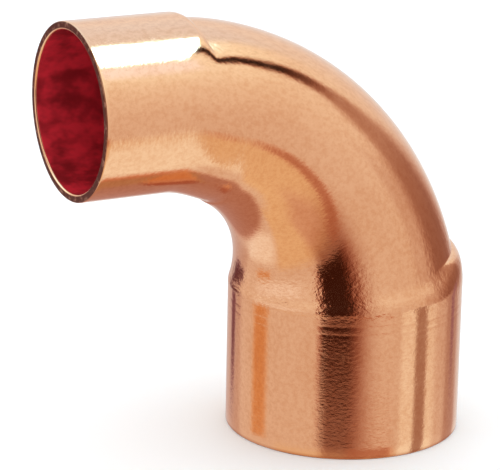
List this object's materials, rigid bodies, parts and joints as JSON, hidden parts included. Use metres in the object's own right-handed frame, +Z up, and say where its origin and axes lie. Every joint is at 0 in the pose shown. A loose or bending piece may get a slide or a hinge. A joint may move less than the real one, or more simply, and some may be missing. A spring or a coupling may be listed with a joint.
{
  "type": "pipe elbow",
  "caption": "Ninety-degree copper street elbow for soldered pipework: a wide socket at one end and a narrower plain spigot at the other, with a smooth bend between.",
  "frame": {"origin": "under the middle of the elbow's length, on the plane of the socket's mouth that it stands on", "axes": "+Z up along the socket's axis, away from its mouth; -X along the spigot's axis, out of its mouth; Y across, square to the bend's plane"},
  "size_m": [0.104, 0.058, 0.1074],
  "materials": {
    "copper": "satin copper, fine drawn grain, darker red inside"
  },
  "bodies": {
    "root": {"elbow_body": "copper"}
  },
  "joints": []
}
